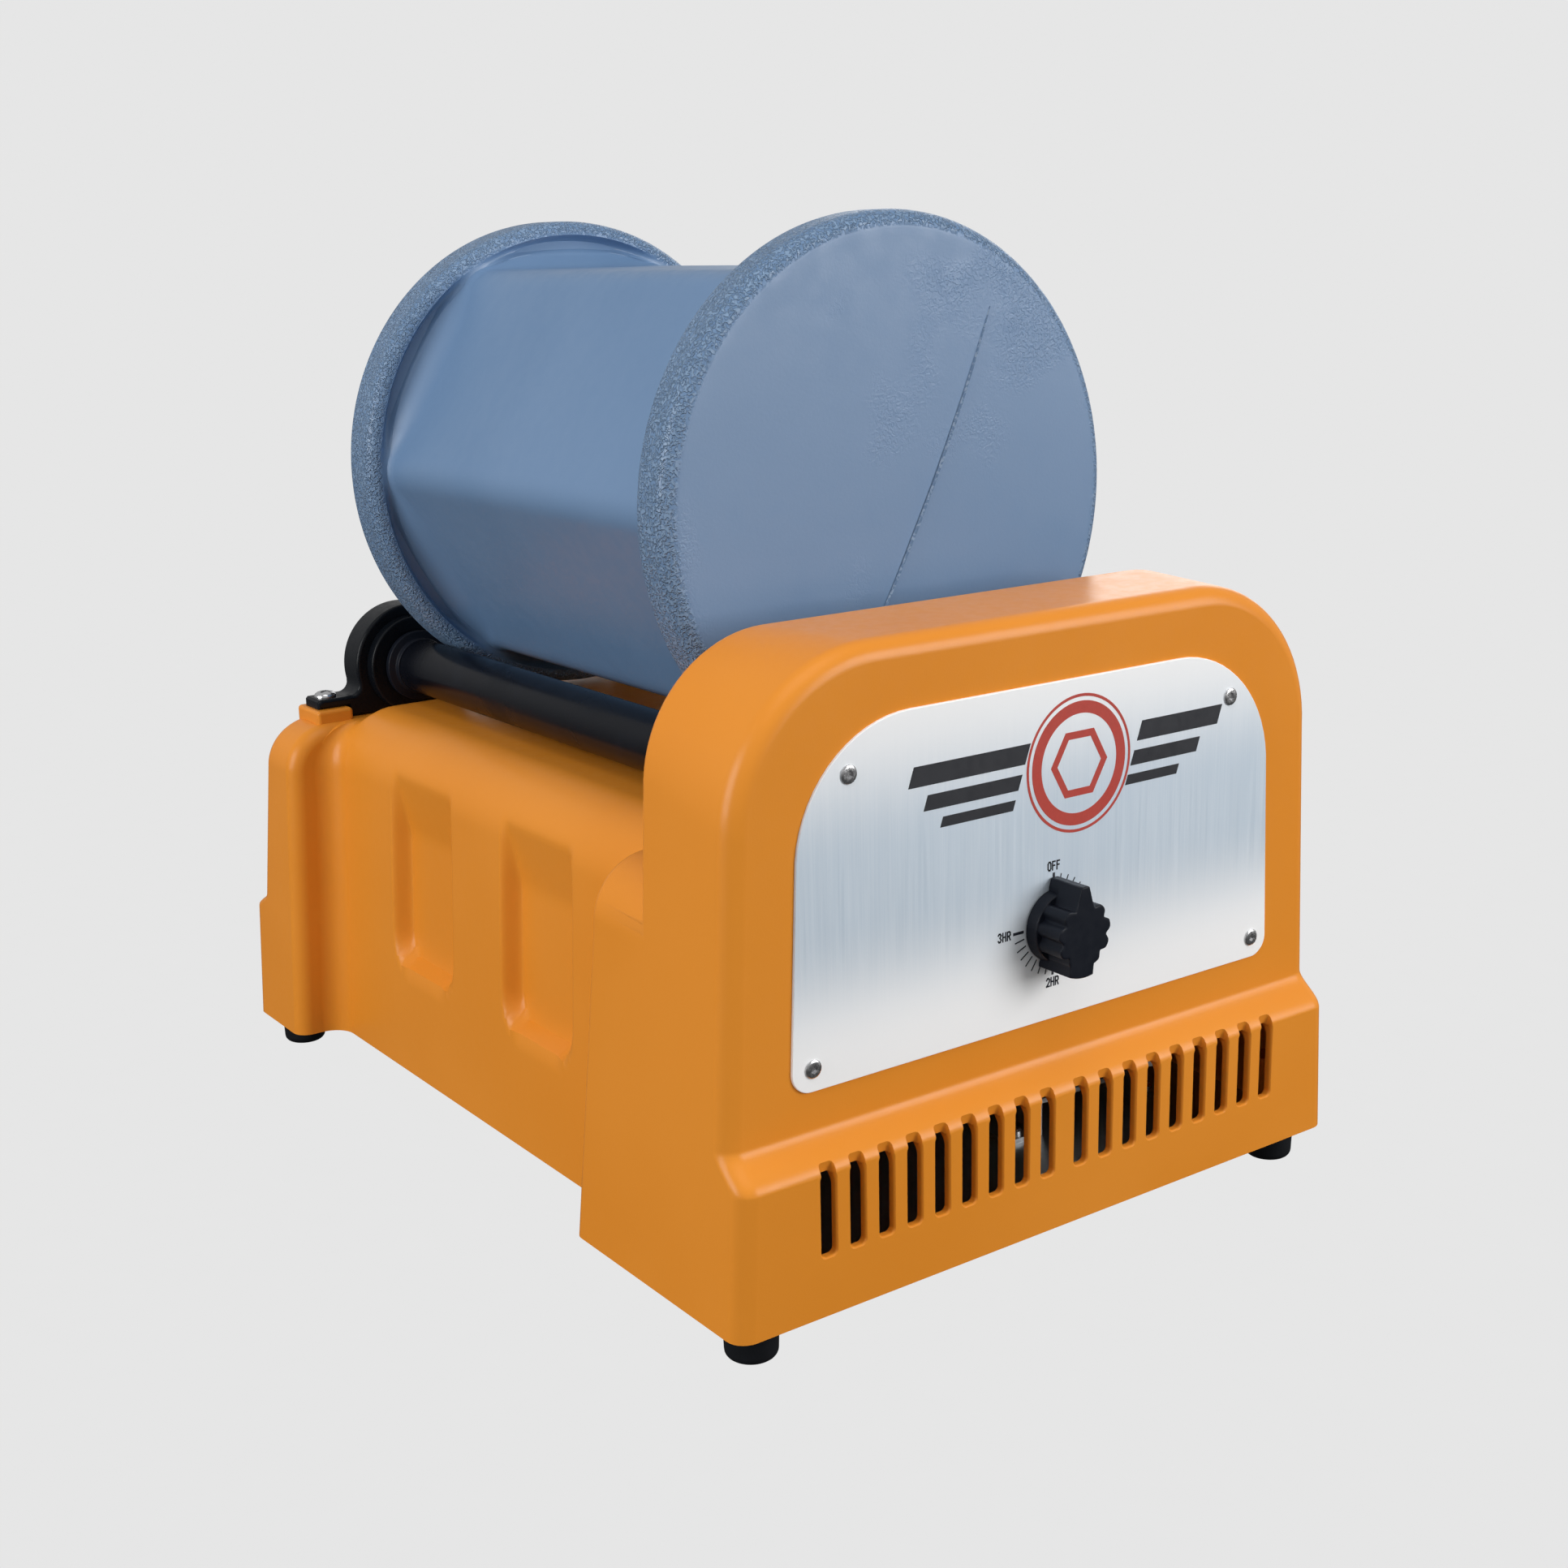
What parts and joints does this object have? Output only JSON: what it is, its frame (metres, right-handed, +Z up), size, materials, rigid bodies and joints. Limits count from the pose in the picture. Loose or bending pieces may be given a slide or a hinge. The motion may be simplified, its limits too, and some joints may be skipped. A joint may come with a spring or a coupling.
{
  "type": "rotary drum tumbler",
  "caption": "Bench tumbler: a six-sided drum with round flanges turns on two belt-driven rubber rollers in a moulded housing with a timer panel.",
  "frame": {"origin": "centre of the bounding box's base, on the surface that the rubber feet stand on", "axes": "+Z up; -Y towards the front panel; +Y along the drum's axis to the rear; +X to the right as seen from the front"},
  "size_m": [0.3, 0.4296, 0.3885],
  "materials": {
    "orange_shell": "moulded, semi-gloss, fine texture",
    "drum_shell": "moulded, glossy with a pebbled rim",
    "black_plastic": "satin moulded",
    "black_rubber": "satin",
    "steel_shaft": "ground",
    "zinc_screws": "bright plated",
    "face_metal": "brushed",
    "sheet_steel": "zinc plated",
    "laminations": "varnished",
    "coil_tape": "amber tape",
    "bearing_bronze": "sintered",
    "white_plastic": "moulded",
    "cast_aluminium": "die cast"
  },
  "bodies": {
    "base": {"housing": "orange_shell", "bottom_plate": "sheet_steel", "bottom_plate_screws": "zinc_screws", "rubber_feet": "black_rubber", "foot_screws": "zinc_screws", "face_plate": "face_metal", "face_plate_screws": "zinc_screws", "timer_case": "black_plastic", "timer_nut": "zinc_screws", "motor_stator": "laminations", "motor_coil": "coil_tape", "motor_front_bracket": "cast_aluminium", "motor_rear_bracket": "cast_aluminium", "motor_bushes": "bearing_bronze", "motor_bolts": "zinc_screws", "motor_mount": "sheet_steel", "motor_mount_screws": "zinc_screws", "drive_belt": "black_rubber", "front_bearing_left": "black_plastic", "front_bearing_right": "black_plastic", "front_bearing_screws": "zinc_screws", "rear_bearing_left": "black_plastic", "rear_bearing_right": "black_plastic", "rear_bearing_screws": "zinc_screws", "roller_bushes": "bearing_bronze", "cord_gland": "black_plastic", "gland_nut": "black_plastic", "terminal_block": "white_plastic", "terminal_screws": "zinc_screws"},
    "timer_dial": {"timer_shaft": "steel_shaft", "timer_knob": "black_plastic"},
    "motor_rotating": {"motor_shaft": "steel_shaft", "motor_rotor": "laminations", "motor_fan": "white_plastic", "motor_pulley": "cast_aluminium"},
    "drive_roller": {"drive_roller_shaft": "steel_shaft", "drive_roller_sleeve": "black_rubber", "drive_roller_collar": "black_plastic", "roller_pulley": "black_plastic"},
    "idler_roller": {"idler_roller_shaft": "steel_shaft", "idler_roller_sleeve": "black_rubber", "idler_roller_collar": "black_plastic"},
    "drum": {"drum_barrel": "drum_shell"},
    "lid": {"lid_cover": "black_plastic", "lid_gasket": "black_rubber", "lid_pressure_plate": "sheet_steel", "lid_stud": "zinc_screws", "lid_washer": "zinc_screws"},
    "clamp_knob": {"lid_knob": "black_plastic"}
  },
  "joints": [
    {"name": "drum_spin", "type": "hinge", "parent": "base", "child": "drum", "pos_m": [0, -0.11195, 0.28059], "axis": [0, 1, 0], "continuous": true},
    {"name": "drive_roller_spin", "type": "hinge", "parent": "base", "child": "drive_roller", "pos_m": [0.07437, -0.11195, 0.1854], "axis": [0, 1, 0], "continuous": true},
    {"name": "idler_roller_spin", "type": "hinge", "parent": "base", "child": "idler_roller", "pos_m": [-0.07437, -0.11195, 0.1854], "axis": [0, 1, 0], "continuous": true},
    {"name": "motor_spin", "type": "hinge", "parent": "base", "child": "motor_rotating", "pos_m": [0.07437, -0.14525, 0.0625], "axis": [0, 1, 0], "continuous": true},
    {"name": "timer_turn", "type": "hinge", "parent": "base", "child": "timer_dial", "pos_m": [0.0015, -0.19775, 0.1318], "axis": [0, 1, 0], "range_deg": [0, 270]},
    {"name": "lid_pull", "type": "slide", "parent": "drum", "child": "lid", "axis": [0, 1, 0], "range_m": [0, 0.1]},
    {"name": "clamp_knob_turn", "type": "hinge", "parent": "lid", "child": "clamp_knob", "pos_m": [0, 0.15525, 0.28059], "axis": [0, 1, 0], "range_deg": [0, 720]}
  ],
  "couplings": [
    {"joint": "drive_roller_spin", "follows": "drum_spin", "ratio": -8.5635},
    {"joint": "idler_roller_spin", "follows": "drum_spin", "ratio": -8.5635},
    {"joint": "motor_spin", "follows": "drum_spin", "ratio": -32.113}
  ]
}
